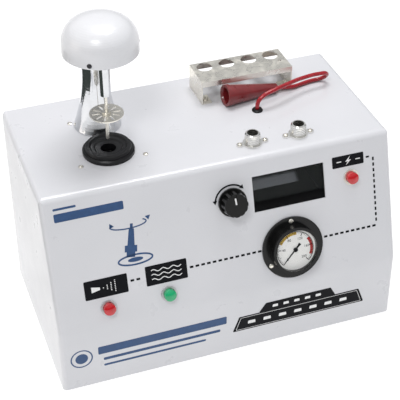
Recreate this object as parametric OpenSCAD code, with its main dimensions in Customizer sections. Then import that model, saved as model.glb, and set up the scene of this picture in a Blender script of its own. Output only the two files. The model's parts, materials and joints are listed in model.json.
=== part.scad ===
// Bench-top spark plug cleaner and tester.
// Frame: X to the right, Y to the back, Z up. The origin is on the bench, under the middle of
// the box that holds the whole object. "Case coordinates" start at the case's lower front edge.

/* [Case] */
// Width of the case
case_w = 420; // [410:1:520]
// Depth of the case at its foot
case_d = 238; // [230:1:290]
// Height of the case without its feet
case_h = 243; // [225:1:300]
// How far the top front edge stands back from the foot
top_setback = 47; // [35:1:50]
// Height of the knee in the front above the case's foot
knee_h = 88; // [60:1:92]
// Sheet thickness of the case
wall = 1.6; // [1.2:0.1:2]
// Outside radius of the top front bend
crease_r = 9; // [5:0.5:12]
// Outside radius of the knee
knee_r = 45; // [20:1:60]
// Radius of the side edges
edge_r = 6; // [3:0.5:8]
// Width of the return flanges at the back and the bottom
flange_w = 14; // [10:1:18]
// Height of the rubber feet below the case
foot_h = 4; // [3:0.5:10]
// Diameter of a rubber foot
foot_d = 20; // [14:1:26]
// Distance of a foot's centre from the case's edges
foot_inset = 32; // [28:1:40]

/* [Cleaning head] */
// Blast port's centre, from the middle of the case
port_x = -111.5; // [-116:0.5:-106]
// Blast port's centre behind the case's front
port_y = 114.5; // [106:0.5:114.5]
// Column's axis, from the middle of the case
column_x = -108; // [-112:0.5:-104]
// Column's axis behind the case's front
column_y = 174; // [174:0.5:177]
// Outside radius of the rubber blast adapter
adapter_r = 30; // [26:0.5:30]
// Height of the blast adapter above the deck
adapter_h = 9; // [7:0.5:12]
// Diameter of the adapter's bore, which takes a plug's thread
adapter_bore = 18; // [12:0.5:20]
// Radius of the column's foot
column_foot_r = 28; // [22:0.5:28]
// Radius of the column's tube
column_r = 15; // [12:0.5:16]
// Height of the column's flare
column_h = 74; // [70:1:80]
// Radius of the dome
dome_r = 43; // [41:0.5:46]
// Height of the dome above its widest level
dome_b = 34; // [31:0.5:38]
// Height of the dome's widest level above the deck
dome_h = 132; // [130:0.5:140]
// Height of the dome's straight skirt
dome_skirt = 8; // [6:0.5:10]
// Sheet thickness of the dome
dome_wall = 1.5; // [1:0.1:2]
// Diameter of the plunger's barrel
barrel_d = 12.5; // [11:0.5:14]
// Height of the barrel's lower end above the deck
barrel_low = 76; // [74:1:84]
// Diameter of the plunger rod
rod_d = 4; // [3:0.5:4.5]
// Height of the rod's tip above the deck
rod_low = 17; // [14:0.5:24]
// Radius of the guard disc on the rod
disc_r = 19.5; // [15:0.5:20]
// Height of the guard disc above the deck
disc_h = 50.5; // [44:0.5:52]

/* [Plug tray] */
// Left end of the tray, from the middle of the case
tray_x = 22; // [15:1:40]
// Front of the tray behind the case's front
tray_y = 172; // [172:1:178]
// Length of the tray
tray_len = 117; // [110:1:140]
// Depth of the tray
tray_depth = 46; // [40:1:50]
// Height of the tray
tray_h = 30.5; // [30:0.5:45]
// Sheet thickness of the tray
tray_t = 1.5; // [1:0.1:2]
// Height of the tray's front lip
tray_lip = 7; // [4:0.5:8]
// Diameter of the plug holes
tray_hole_d = 19.5; // [14:0.5:20]
// Number of plug holes
tray_holes = 4; // [2:1:4]

/* [Test ports] */
// Position of the left port, from the middle of the case
test_x = 49; // [46:0.5:52]
// Distance between the two ports
test_pitch = 57; // [48:0.5:58]
// Ports' centre behind the case's front
test_y = 74; // [72:0.5:78]
// Outside diameter of a port's body
test_body_d = 17.5; // [16:0.5:19]
// Height of a port's body above its flange
test_body_h = 13; // [8:0.5:18]
// Diameter of a port's plug hole
test_bore = 13; // [10:0.5:14]

/* [Front panel] */
// Width of the viewing window
window_w = 89; // [84:1:92]
// Height of the viewing window along the panel
window_h = 44; // [36:1:46]
// Diameter of the gauge's flange
gauge_d = 76; // [75:1:80]
// Diameter of the gauge's bezel
bezel_d = 58; // [50:1:58]
// Height of the gauge's bezel above its flange
bezel_h = 13; // [9:0.5:15]
// Diameter of the pressure knob
knob_d = 34; // [28:0.5:38]
// Height of the pressure knob
knob_h = 17; // [14:0.5:22]
// Diameter of a push button
button_d = 14; // [11:0.5:15]
// Travel of a push button
button_travel = 3; // [2:0.5:4]

/* [High-tension lead] */
// Diameter of the lead
lead_d = 5; // [4:0.5:5]
// Diameter of the boot's mouth
boot_d = 26.5; // [24:0.5:27]
// Diameter of the boot's tail
boot_tail_d = 12; // [11:0.5:13]

/* [Services] */
// Reach of the air inlet behind the case
inlet_reach = 22; // [15:1:30]

/* [Hidden] */

eps = 0.01;
gap = 0.3;                      // running gap between pieces that move past each other
fit = 0.05;                     // clearance of a shaft in its hole

deck_z = foot_h + case_h;       // top of the case
knee_z = foot_h + knee_h;
lean = atan(top_setback / (deck_z - knee_z));     // the panel's lean from the vertical
panel_len = (deck_z - knee_z) / cos(lean);

gauge_u = 78;
gauge_v = panel_len - 43;
gauge_flange_t = 2.5;
button_v = panel_len - 20;      // the lower buttons' distance down the panel
blast_u = -149;
air_u = -77;
test_u = 158;
test_v = 48;
window_u = 80;
window_v = 45;
knob_u = 9;
knob_v = 47;

// The bezel's lowest front corner is the object's front, and the air inlet its back.
front_over = (gauge_flange_t + bezel_h) * cos(lean)
    - (panel_len - gauge_v - bezel_d / 2) * sin(lean);
case_y0 = (front_over - case_d - inlet_reach) / 2;

reach = norm([port_x - column_x, port_y - column_y]);
head_turn = atan2(port_x - column_x, column_y - port_y);   // of the head about the column
arm_w = 24;                     // width of the bracket's arm
tube_in = column_r - 3;
pivot_bore = 12;
foot_rim = 1.5;
dome_from_port = 14;            // the dome's axis, from the port towards the column
dome_pow = 2.5;                 // how full the dome's outline is: 2 is an ellipse
rim_h = dome_h - dome_skirt;    // the dome's open rim above the deck
bracket_t = 4;
bracket_h = rim_h + 1;          // the bracket's underside above the deck
bracket_r = 29;
dome_screw_h = bracket_h + 4;
dome_screw_turn = 28;
spigot_d = 9;
guide_h = 3;                    // wall that guides the rod at the barrel's lower end
rod_travel = 18;
rod_head_h = 5;
stiffener_t = 3;
nut_h = 8;
chamber_r = 38;
chamber_top = -wall - 8;        // from the deck
chamber_h = 80;
cone_h = 35;

tray_screw_in = 7;
tray_screw_y = 9;
tray_edge = 15.5;               // from a tray's end to its first hole
tray_back = 11.5;               // from the tray's back to the holes' centres

port_flange_t = 2;
port_screw_r = 15.5;
port_depth = 24;                // of a port's lower end below the deck
box_back = 102;                 // back of the viewing box
box_t = 1.5;
box_side = 4;                   // how far the box reaches past the window
gasket_t = 1;
glass_t = 2;

shaft_d = 6;
bush_d = 12;
regulator_d = 38;
regulator_len = 50;
button_bezel_d = 19;
valve_d = 17;
valve_len = 34;
button_out = 9;
stem_d = 5;

lead_x = 80.5;
lead_y = 138;
grommet_h = 3;
boot_x = 117;                   // the boot's tail
boot_y = 169;
boot_turn = 5.5;
boot_len = 69.5;
boot_clear = 0.1;
boot_tilt = asin((boot_d - boot_tail_d) / 2 / boot_len);
boot_tail = [boot_x, boot_y, boot_tail_d / 2 + boot_clear];
// The lead's route from the grommet to the boot's tail: case coordinates, above the deck.
lead_route = [[80.5, 138, 3], [80.5, 138, 8], [82.6, 138.6, 13.2], [87.5, 139.2, 17.5],
    [95, 140.3, 20.3], [106.8, 142.9, 22], [122.4, 149, 21.6], [139.3, 156.4, 20.3],
    [154.4, 161, 19.3], [164, 163, 18.8], [172.5, 163.5, 18.4], [178.6, 164, 17.8],
    [183.2, 166.5, 14.5], [184.4, 170.2, 9.7], [181.9, 173.6, 5.2], [176.5, 175.5, 2.9],
    [170, 175.6, 2.7], [162, 174.6, 2.7], [154, 172.8, 2.7], [147, 170.9, 2.8],
    [140, 169.3, 3.3], [132, 168.8, 4.3], [124, 168.9, 5.4], [117, 169, 6.1]];
lead_sides = 10;
lead_steps = 2;                 // rings on each stretch of the route

base_top = foot_h + wall;
air_x = -150;
air_z = 62;
mains_x = 128;
mains_z = 66;
mains_pitch = 40;
manifold_d = 25;
coil_size = [60, 50, 90];

paint = [0.83, 0.83, 0.84];
chrome = [0.80, 0.81, 0.82];
zinc = [0.74, 0.73, 0.68];
steel = [0.60, 0.61, 0.62];
brass = [0.78, 0.62, 0.32];
black = [0.07, 0.07, 0.08];
glass = [0.8, 0.9, 0.9, 0.4];
red = [0.80, 0.10, 0.12];
green = [0.10, 0.60, 0.30];

// ---- functions and small shapes ----
function unit(v) = v / norm(v);
function xy(c) = [c[0], c[1]];
// Points of the arc that rounds corner p between its neighbours a and b.
function corner_arc(a, p, b, r, n) =
    let (da = unit(a - p), db = unit(b - p), half = acos(da * db) / 2,
        c = p + unit(da + db) * r / sin(half), s = p + da * r / tan(half) - c,
        e = p + db * r / tan(half) - c, turn = sign(s[0] * e[1] - s[1] * e[0]) * (180 - 2 * half))
    [for (i = [0 : n]) let (t = turn * i / n)
        c + [s[0] * cos(t) - s[1] * sin(t), s[0] * sin(t) + s[1] * cos(t)]];
// An outline from corners [x, y, radius].
function rounded(cs, n = 8) = [for (i = [0 : len(cs) - 1])
    let (p = cs[i], a = cs[(i + len(cs) - 1) % len(cs)], b = cs[(i + 1) % len(cs)])
    each (p[2] > 0 ? corner_arc(xy(a), xy(p), xy(b), p[2], n) : [xy(p)])];
// A point on the panel, u across, v down from the top edge, out of its face.
function panel_yz(v, out) = [top_setback - v * sin(lean) - out * cos(lean),
    deck_z - v * cos(lean) + out * sin(lean)];

module rod_hole(d, h) translate([0, 0, -h / 2]) cylinder(d = d, h = h, $fn = 40);
module ring(r_out, r_in, h) difference() {
    cylinder(r = r_out, h = h, $fn = 64);
    translate([0, 0, -1]) cylinder(r = r_in, h = h + 2, $fn = 64);
}
// A pan-head screw: its shank is below z = 0 and its head above.
module pan_screw(d, length, head_d, head_h) {
    ball = head_d * 0.8;
    translate([0, 0, -length]) cylinder(d = d, h = length + eps, $fn = 24);
    difference() {
        intersection() {
            cylinder(d = head_d, h = head_h, $fn = 32);
            translate([0, 0, head_h - ball]) sphere(r = ball, $fn = 48);
        }
        for (a = [0, 90]) rotate([0, 0, a]) translate([0, 0, head_h])
            cube([head_d * 0.6, 0.9, head_h * 0.7], center = true);
    }
}
// A closed skin over rings of points, which follow each other anticlockwise about the way along.
module skin(rings) {
    n = len(rings[0]);
    last = len(rings) - 1;
    polyhedron(points = [for (r = rings) each r], faces = concat(
        [[for (k = [0 : n - 1]) k], [for (k = [n - 1 : -1 : 0]) last * n + k]],
        [for (i = [0 : last - 1], k = [0 : n - 1]) let (m = (k + 1) % n)
            [i * n + k, (i + 1) * n + k, (i + 1) * n + m, i * n + m]]));
}
module hex_nut(across, bore, h) difference() {
    cylinder(d = across / cos(30), h = h, $fn = 6);
    translate([0, 0, -1]) cylinder(d = bore, h = h + 2, $fn = 40);
}

// ---- places ----
module in_case() translate([0, case_y0, 0]) children();
module on_deck(x, y, h = 0) in_case() translate([x, y, deck_z + h]) children();
module on_panel(u, v, out = 0) in_case() translate([0, top_setback, deck_z])
    rotate([90 - lean, 0, 0]) translate([u, -v, out]) children();
module at_back(x, z) in_case() translate([x, case_d, z]) rotate([-90, 0, 0]) children();
module at_feet() in_case() for (x = [-1, 1], y = [foot_inset, case_d - foot_inset])
    translate([x * (case_w / 2 - foot_inset), y, 0]) children();
module at_base_screws() in_case() for (x = [-1, 0, 1], y = [10, case_d - 10])
    translate([x * (case_w / 2 - flange_w / 2 - 4), y, foot_h]) children();
module at_cover_screws() for (x = [-1, 0, 1], z = [10, case_h - 10])
    at_back(x * (case_w / 2 - flange_w / 2 - 4), foot_h + z) children();
// The head's own frame: on the column's axis at deck level, with -Y towards the port.
module at_column(h = 0) on_deck(column_x, column_y, h) rotate([0, 0, head_turn]) children();
module at_dome(h) at_column() translate([0, dome_from_port - reach, h]) children();
module at_plunger(h) at_column() translate([0, -reach, h]) children();
module at_head_screws() {
    for (x = [-38, 38]) on_deck(port_x + x, port_y - 20) children();
    for (x = [-31, 31]) on_deck(column_x + x, column_y + 11) children();
}
module at_test_ports() for (i = [0, 1]) on_deck(test_x + i * test_pitch, test_y) children();
module at_test_screws() at_test_ports() for (x = [-1, 1])
    translate([x * port_screw_r, 0, port_flange_t]) children();
module at_buttons() {
    on_panel(blast_u, button_v) children();
    on_panel(air_u, button_v) children();
    on_panel(test_u, test_v) children();
}
module at_tray_screws() for (x = [tray_screw_in, tray_len - tray_screw_in])
    on_deck(tray_x + x, tray_y + tray_screw_y, tray_t) children();
module at_gauge_screws() for (a = [90, 210, 330]) on_panel(gauge_u, gauge_v)
    rotate([0, 0, a]) translate([gauge_d * 0.44, 0, gauge_flange_t]) children();

// ---- case ----
// Side view of the case, drawn in by a distance.
module side_view(in) polygon(rounded([[in, foot_h + in, 0.5],
    [in, knee_z - in * tan(lean / 2), knee_r - in],
    [top_setback + in * (1 - sin(lean)) / cos(lean), deck_z - in, crease_r - in],
    [case_d - in, deck_z - in, 0], [case_d - in, foot_h + in, 0]]));
// The side view meets rounded bars along Z, the slope and Y, which round every other edge.
module case_solid(in) in_case() intersection() {
    w = case_w / 2 - in;
    r = edge_r - in;
    rotate([90, 0, 90]) translate([0, 0, -w]) linear_extrude(2 * w) side_view(in);
    linear_extrude(deck_z + 1) polygon(rounded([[-w, in, r], [w, in, r], [w, case_d - in, r],
        [-w, case_d - in, r]]));
    translate([0, top_setback + in * (1 - sin(lean)) / cos(lean), deck_z - in])
        rotate([-lean, 0, 0]) translate([0, 0, -2 * case_h]) linear_extrude(3 * case_h)
        polygon(rounded([[-w, 0, r], [w, 0, r], [w, 2 * case_d, 0], [-w, 2 * case_d, 0]]));
    translate([0, case_d + 1, 0]) rotate([90, 0, 0]) linear_extrude(case_d + 2)
        polygon(rounded([[-w, deck_z - in, r], [-w, 0, 0], [w, 0, 0], [w, deck_z - in, r]]));
}
module return_flanges() in_case() {
    translate([0, case_d - wall, foot_h + case_h / 2]) rotate([90, 0, 0]) linear_extrude(wall)
        difference() {
            square([case_w, case_h], center = true);
            square([case_w - 2 * flange_w, case_h - 2 * flange_w], center = true);
        }
    translate([0, case_d / 2, base_top]) linear_extrude(wall) difference() {
        square([case_w, case_d], center = true);
        square([case_w - 2 * flange_w, case_d - 2 * flange_w], center = true);
    }
}
module deck_holes() {
    on_deck(port_x, port_y) rod_hole(2 * (adapter_r - 8), 20);
    on_deck(column_x, column_y) rod_hole(2 * (tube_in + fit), 20);
    at_head_screws() rod_hole(4.2, 20);
    at_test_ports() rod_hole(test_body_d + 2 * fit, 20);
    at_test_screws() rod_hole(3.2, 20);
    at_tray_screws() rod_hole(4.2, 20);
    on_deck(lead_x, lead_y) rod_hole(9, 20);
}
module panel_holes() {
    on_panel(window_u, window_v) cube([window_w, window_h, 24], center = true);
    on_panel(knob_u, knob_v) rod_hole(bush_d + 2 * fit, 20);
    on_panel(gauge_u, gauge_v) rod_hole(bezel_d, 20);
    at_gauge_screws() rod_hole(3.2, 20);
    at_buttons() rod_hole(valve_d + 2 * fit, 20);
}
module case_shell() color(paint) difference() {
    case_solid(0);
    difference() {
        case_solid(wall);
        return_flanges();
    }
    in_case() translate([0, case_d, foot_h + case_h / 2])
        cube([case_w - 10, 2 * wall, case_h - 10], center = true);
    in_case() translate([0, case_d / 2, foot_h])
        cube([case_w - 10, case_d - 10, 2 * wall], center = true);
    deck_holes();
    panel_holes();
    at_cover_screws() rod_hole(3.2, 20);
    at_base_screws() rod_hole(3.2, 20);
}
module rear_cover() color(paint) difference() {
    in_case() translate([0, case_d - wall / 2, foot_h + case_h / 2])
        cube([case_w - 10 - 2 * gap, wall, case_h - 10 - 2 * gap], center = true);
    at_cover_screws() rod_hole(4.2, 20);
    at_back(air_x, air_z) rod_hole(14, 20);
    at_back(mains_x, mains_z) cube([28, 20, 20], center = true);
    for (x = [-1, 1]) at_back(mains_x + x * mains_pitch / 2, mains_z) rod_hole(3.2, 20);
    for (i = [0 : 7]) at_back(0, foot_h + case_h * 0.6 + i * 8) cube([90, 3, 20], center = true);
}
module base_plate() color(paint) difference() {
    in_case() translate([0, case_d / 2, foot_h + wall / 2])
        cube([case_w - 10 - 2 * gap, case_d - 10 - 2 * gap, wall], center = true);
    at_feet() cylinder(d = 4.2, h = 20, $fn = 24);
    at_base_screws() rod_hole(4.2, 20);
}
module feet() color(black) at_feet() difference() {
    union() {
        cylinder(d1 = foot_d - 3, d2 = foot_d, h = foot_h / 2, $fn = 48);
        translate([0, 0, foot_h / 2]) cylinder(d = foot_d, h = foot_h / 2, $fn = 48);
    }
    translate([0, 0, -1]) cylinder(d = 9, h = foot_h / 2 + 1, $fn = 32);
    cylinder(d = 4.2, h = foot_h + 1, $fn = 24);
}
module foot_screws() color(steel) at_feet() {
    translate([0, 0, foot_h / 2 - 1]) cylinder(d = 8, h = 1, $fn = 32);
    translate([0, 0, foot_h / 2 - eps]) cylinder(d = 4, h = foot_h / 2 + wall + 5, $fn = 24);
    translate([0, 0, base_top]) hex_nut(7, 3.9, 3);
}
module base_plate_screws() color(steel) at_base_screws() rotate([180, 0, 0])
    pan_screw(3, 6, 6, 1.8);
module rear_cover_screws() color(steel) at_cover_screws() pan_screw(3, 6, 6, 1.8);

// ---- cleaning head: column, dome and plunger turn together on the deck ----
// Radius of the column at a height above the deck, a trumpet that settles to a straight post.
function flare(h) = column_r + (column_foot_r - column_r) * pow(1 - h / column_h, 2);
module chrome_column() color(chrome) at_column() difference() {
    pivot_low = -wall - stiffener_t - gap - nut_h - 1;
    rotate_extrude($fn = 96) polygon(concat([[pivot_bore / 2, pivot_low], [tube_in, pivot_low],
        [tube_in, gap], [column_foot_r, gap]],
        [for (i = [0 : 18]) let (h = foot_rim + (column_h - foot_rim) * i / 18)
            [flare(h - foot_rim * (1 - i / 18)), h]], [[column_r, bracket_h - 1],
        [column_r - 1, bracket_h], [0, bracket_h], [0, bracket_h - 8], [tube_in, bracket_h - 8],
        [tube_in, 4], [pivot_bore / 2, 4]]));
    translate([0, 0, bracket_h]) rod_hole(5, 30);
}
module column_nut() color(steel) at_column(-wall - stiffener_t - gap - nut_h)
    hex_nut(34, 2 * tube_in + 2 * fit, nut_h);
// A point of the dome's outline above its widest level, drawn in by a distance.
function dome_at(t, in) = [(dome_r - in) * pow(cos(t), 2 / dome_pow),
    dome_h + (dome_b - in) * pow(sin(t), 2 / dome_pow)];
function dome_side(in) = concat(in > 0 ? [[0, rim_h - 1], [dome_r - in, rim_h - 1]]
    : [[0, rim_h], [dome_r - 0.7, rim_h], [dome_r, rim_h + 0.7]],
    [for (i = [0 : 17]) dome_at(i * 5, in)], [[0, dome_h + dome_b - in]]);
module at_dome_screws() for (a = [0, 120, 240]) at_dome(dome_screw_h)
    rotate([0, 0, a - dome_screw_turn]) translate([0, -dome_r, 0]) rotate([90, 0, 0]) children();
// The arm that carries the bracket from the column's top, or the room it takes.
module arm(more) at_column(bracket_h - more) {
    cylinder(r = arm_w / 2 + more, h = bracket_t + 2 * more, $fn = 64);
    translate([-arm_w / 2 - more, dome_from_port - reach, 0])
        cube([arm_w + 2 * more, reach - dome_from_port, bracket_t + 2 * more]);
}
arm_screw_head = 9;
arm_screw_h = 3;
module dome_cap() color(paint) difference() {
    at_dome(0) rotate_extrude($fn = 72) difference() {
        polygon(dome_side(0));
        polygon(dome_side(dome_wall));
    }
    arm(gap);
    at_column(bracket_h) cylinder(d = arm_screw_head + 2 * gap,
        h = bracket_t + arm_screw_h + gap, $fn = 48);
    at_column() cylinder(r = column_r + gap, h = bracket_h + eps, $fn = 64);
    at_dome_screws() rod_hole(3.2, 16);
}
module head_screws() color(black) {
    at_dome_screws() translate([0, 0, 0.02]) pan_screw(3, 9, 5.5, 1.6);
    at_column(bracket_h + bracket_t) pan_screw(5, 11, arm_screw_head, arm_screw_h);
}
module head_bracket() color(steel) difference() {
    union() {
        arm(0);
        at_dome(bracket_h) cylinder(r = bracket_r, h = bracket_t, $fn = 64);
        at_dome(bracket_h) for (a = [0, 120, 240]) rotate([0, 0, a - dome_screw_turn]) translate([-4, -41.2, 0])
            cube([8, 14, bracket_t + 6]);
    }
    at_column(bracket_h) rod_hole(5, 40);
    at_plunger(bracket_h) rod_hole(spigot_d + 2 * fit, 30);
    at_dome_screws() rod_hole(3, 26);
}
module plunger_barrel() color(chrome) at_plunger(0) difference() {
    union() {
        translate([0, 0, barrel_low]) cylinder(d = barrel_d, h = bracket_h - barrel_low, $fn = 48);
        translate([0, 0, bracket_h - eps]) cylinder(d = spigot_d, h = bracket_t + 10, $fn = 40);
    }
    translate([0, 0, barrel_low - 1]) cylinder(d = rod_d + 2 * fit, h = 20, $fn = 32);
    translate([0, 0, barrel_low + guide_h])
        cylinder(d = 7, h = bracket_h + bracket_t + 7 - barrel_low - guide_h, $fn = 40);
}
module barrel_nut() color(steel) at_plunger(bracket_h + bracket_t)
    hex_nut(14, spigot_d + 2 * fit, 5);
rod_head = barrel_low + guide_h + 1;
module plunger_spring() color(steel) at_plunger(0) {
    turns = 9;
    wire = 0.4;
    low = rod_head + rod_head_h + wire + 0.1;
    high = bracket_h + bracket_t + 7 - wire - 0.1;
    skin([for (i = [0 : turns * 16]) let (t = i * 22.5, z = low + (high - low) * i / turns / 16)
        [for (a = [0 : 45 : 315]) [(2.7 + wire * cos(a)) * cos(t), (2.7 + wire * cos(a)) * sin(t),
            z + wire * sin(a)]]]);
}
module plunger_rod() color(chrome) at_plunger(0) {
    tip = 1.5;
    translate([0, 0, rod_low]) cylinder(d1 = rod_d - 2, d2 = rod_d, h = tip, $fn = 32);
    translate([0, 0, rod_low + tip]) cylinder(d = rod_d, h = rod_head + 1 - rod_low - tip,
        $fn = 32);
    translate([0, 0, rod_head]) cylinder(d = 6.4, h = rod_head_h, $fn = 32);
}
module guard_disc() color(zinc) at_plunger(disc_h) difference() {
    union() {
        cylinder(r = disc_r, h = 1.5, $fn = 64);
        cylinder(d = rod_d + 6, h = 4, $fn = 40);
    }
    translate([0, 0, -1]) cylinder(d = rod_d, h = 8, $fn = 32);
    for (i = [0 : 9]) rotate([0, 0, i * 36]) translate([disc_r * 0.45, 0, -1]) {
        translate([0, -1.1, 0]) cube([disc_r * 0.35, 2.2, 4]);
        for (x = [0, disc_r * 0.35]) translate([x, 0, 0]) cylinder(d = 2.2, h = 4, $fn = 20);
    }
}

// ---- blast port and chamber ----
module blast_adapter() color(black) on_deck(port_x, port_y) difference() {
    r = adapter_r;
    h = adapter_h;
    rotate_extrude($fn = 96) polygon([[1, -wall - 2], [r - 8, -wall - 2], [r - 8, 0], [r, 0],
        [r, h * 0.45], [r - 1.5, h * 0.62], [r - 3, h * 0.62], [r - 4, h], [r - 8, h],
        [r - 10, h - 2], [r - 13, h - 2.5], [r - 15, h - 4], [1, h - 4.5]]);
    translate([0, 0, -10]) cylinder(d = adapter_bore, h = 30, $fn = 64);
}
module adapter_collar() color(steel) on_deck(port_x, port_y, chamber_top) difference() {
    cylinder(r = adapter_r - 2, h = -wall - chamber_top, $fn = 64);
    translate([0, 0, -1]) cylinder(d = adapter_bore + 8, h = 20, $fn = 64);
    translate([0, 0, -wall - 2 - chamber_top]) cylinder(r = adapter_r - 8, h = 4, $fn = 64);
}
module deck_stiffener() color(steel) difference() {
    on_deck(port_x - 46, port_y - 26, -wall - stiffener_t)
        cube([92, column_y - port_y + 50, stiffener_t]);
    on_deck(port_x, port_y) rod_hole(2 * (adapter_r - 2), 20);
    on_deck(column_x, column_y) rod_hole(2 * (tube_in + fit), 20);
    at_head_screws() rod_hole(4, 20);
}
module deck_screws() color(zinc) at_head_screws() pan_screw(4, wall + stiffener_t + 2, 6, 1.8);
module blast_chamber() color(steel) on_deck(port_x, port_y) difference() {
    rotate_extrude($fn = 72) polygon([[adapter_bore / 2 + 4, chamber_top], [chamber_r, chamber_top],
        [chamber_r, chamber_top - chamber_h], [12, chamber_top - chamber_h - cone_h],
        [12, chamber_top - chamber_h - cone_h - 12], [10, chamber_top - chamber_h - cone_h - 12],
        [10, chamber_top - chamber_h - cone_h], [chamber_r - 2, chamber_top - chamber_h],
        [chamber_r - 2, chamber_top - 2], [adapter_bore / 2 + 4, chamber_top - 2]]);
    translate([0, 0, chamber_top - 60]) rotate([0, -90, 0]) cylinder(d = 8, h = 60, $fn = 32);
}
module blast_nozzle() color(brass) on_deck(port_x, port_y, chamber_top - 60) difference() {
    union() {
        rotate([0, -90, 0]) cylinder(d = 8, h = chamber_r + 12, $fn = 32);
        translate([0, 0, -8]) cylinder(d = 14, h = 18, $fn = 40);
        translate([0, 0, 10]) cylinder(d1 = 14, d2 = 7, h = 18, $fn = 40);
    }
    translate([0, 0, -9]) cylinder(d = 3, h = 50, $fn = 24);
}
module chamber_drain() color(brass) on_deck(port_x, port_y,
    chamber_top - chamber_h - cone_h - 16) difference() {
    cylinder(r = 15, h = 14, $fn = 48);
    translate([0, 0, 4]) cylinder(r = 12, h = 20, $fn = 48);
}

// ---- plug tray ----
module plug_tray() color(zinc) on_deck(tray_x, tray_y) {
    pitch = (tray_len - 2 * tray_edge) / (tray_holes - 1);
    difference() {
        translate([0, 0, tray_h - tray_t]) cube([tray_len, tray_depth, tray_t]);
        for (i = [0 : tray_holes - 1])
            translate([tray_edge + i * pitch, tray_depth - tray_back, tray_h])
            rod_hole(tray_hole_d, 10);
        translate([tray_len - 9, tray_depth * 0.4, tray_h]) rod_hole(4, 10);
    }
    translate([0, 0, tray_h - tray_lip]) cube([tray_len, tray_t, tray_lip - tray_t + eps]);
    translate([0, tray_depth - tray_t, tray_h - tray_lip - 1])
        cube([tray_len, tray_t, tray_lip + 1 - tray_t + eps]);
    for (x = [0, tray_len - tray_t]) translate([x, 0, 0])
        cube([tray_t, tray_depth, tray_h - tray_t + eps]);
    for (x = [0, 1]) difference() {
        translate([x * (tray_len - 13), 0, 0]) cube([13, 18, tray_t]);
        translate([x ? tray_len - tray_screw_in : tray_screw_in, tray_screw_y, 0])
            rod_hole(4.2, 10);
    }
}
module tray_screws() color(steel) at_tray_screws() pan_screw(4, 9, 7.5, 2.4);

// ---- test ports and viewing chamber ----
module test_port(i) color(chrome) on_deck(test_x + i * test_pitch, test_y) difference() {
    union() {
        cylinder(d = 22.5, h = port_flange_t, $fn = 64);
        for (x = [-1, 1]) translate([x * port_screw_r, 0, 0]) cylinder(d = 8, h = port_flange_t,
            $fn = 40);
        translate([-port_screw_r, -3.5, 0]) cube([2 * port_screw_r, 7, port_flange_t]);
        translate([0, 0, -port_depth]) cylinder(d = test_body_d,
            h = port_depth + port_flange_t + test_body_h - 1, $fn = 64);
        translate([0, 0, port_flange_t + test_body_h - 1])
            cylinder(d1 = test_body_d, d2 = test_body_d - 2, h = 1, $fn = 64);
        for (i = [0 : 3]) translate([0, 0, port_flange_t + 2 + i * 2.4])
            cylinder(d = test_body_d + 0.8, h = 1, $fn = 64);
    }
    rod_hole(test_bore, 90);
    for (x = [-1, 1]) translate([x * port_screw_r, 0, 0]) rod_hole(3.2, 20);
}
module test_port_left() test_port(0);
module test_port_right() test_port(1);
module test_port_screws() color(steel) at_test_screws() pan_screw(3, 12, 5, 1.8);
box_top = panel_yz(window_v - window_h / 2 - box_side, -wall)[1];
module pressure_block() color(zinc) difference() {
    in_case() translate([test_x - 20, test_y - 14, box_top])
        cube([test_pitch + 40, 28, deck_z - wall - box_top]);
    at_test_ports() rod_hole(test_body_d, 100);
    at_test_screws() rod_hole(3, 40);
}
// Side view of the viewing box, whose front lies behind the panel.
module box_side_view(in) polygon(concat(
    [panel_yz(window_v - window_h / 2 - box_side + in, -wall)],
    [panel_yz(window_v + window_h / 2 + box_side - in, -wall)],
    [[box_back - in, panel_yz(window_v + window_h / 2 + box_side - in, -wall)[1]],
    [box_back - in, panel_yz(window_v - window_h / 2 - box_side + in, -wall)[1]]]));
module viewing_box() color(black) difference() {
    w = window_w + 2 * box_side;
    in_case() translate([window_u - w / 2, 0, 0]) rotate([90, 0, 90]) linear_extrude(w)
        box_side_view(0);
    in_case() translate([window_u - w / 2 + box_t, 0, 0]) rotate([90, 0, 90])
        linear_extrude(w - 2 * box_t) box_side_view(box_t);
    at_test_ports() rod_hole(test_body_d, 80);
}
module viewing_mirror() color(chrome) in_case() translate([window_u, box_back - 30,
    panel_yz(window_v + window_h / 2 + box_side - box_t, -wall)[1]]) rotate([50, 0, 0])
    translate([-30, 0.5, 0]) cube([60, 30, 1.2]);
module window_glass() color(glass) on_panel(window_u, window_v, -wall - gasket_t - glass_t / 2)
    cube([window_w + 4, window_h + 2, glass_t], center = true);
module window_gasket() color(black) on_panel(window_u, window_v, -wall - gasket_t / 2)
    difference() {
        cube([window_w + 4, window_h + 2, gasket_t], center = true);
        cube([window_w - 1, window_h - 1, 2 * gasket_t], center = true);
    }

// ---- pressure gauge ----
can_depth = 30;
dial_out = gauge_flange_t + bezel_h - 6;
module gauge_case() color(black) on_panel(gauge_u, gauge_v) difference() {
    union() {
        cylinder(d = gauge_d, h = gauge_flange_t, $fn = 96);
        translate([0, 0, gauge_flange_t - eps])
            cylinder(d1 = bezel_d + 1, d2 = bezel_d, h = bezel_h, $fn = 96);
        translate([0, 0, -can_depth]) cylinder(d = bezel_d - 2 * gap, h = can_depth + eps,
            $fn = 96);
    }
    translate([0, 0, dial_out - 1.2]) cylinder(d = bezel_d - 7, h = 40, $fn = 96);
    translate([0, 0, dial_out - 20]) cylinder(d = 12, h = 40, $fn = 32);
    for (a = [90, 210, 330]) rotate([0, 0, a]) translate([gauge_d * 0.44, 0, 0]) rod_hole(3.2, 20);
}
module gauge_dial() color("white") on_panel(gauge_u, gauge_v, dial_out - 1.2) difference() {
    cylinder(d = bezel_d - 7, h = 1, $fn = 96);
    rod_hole(3, 10);
}
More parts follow.
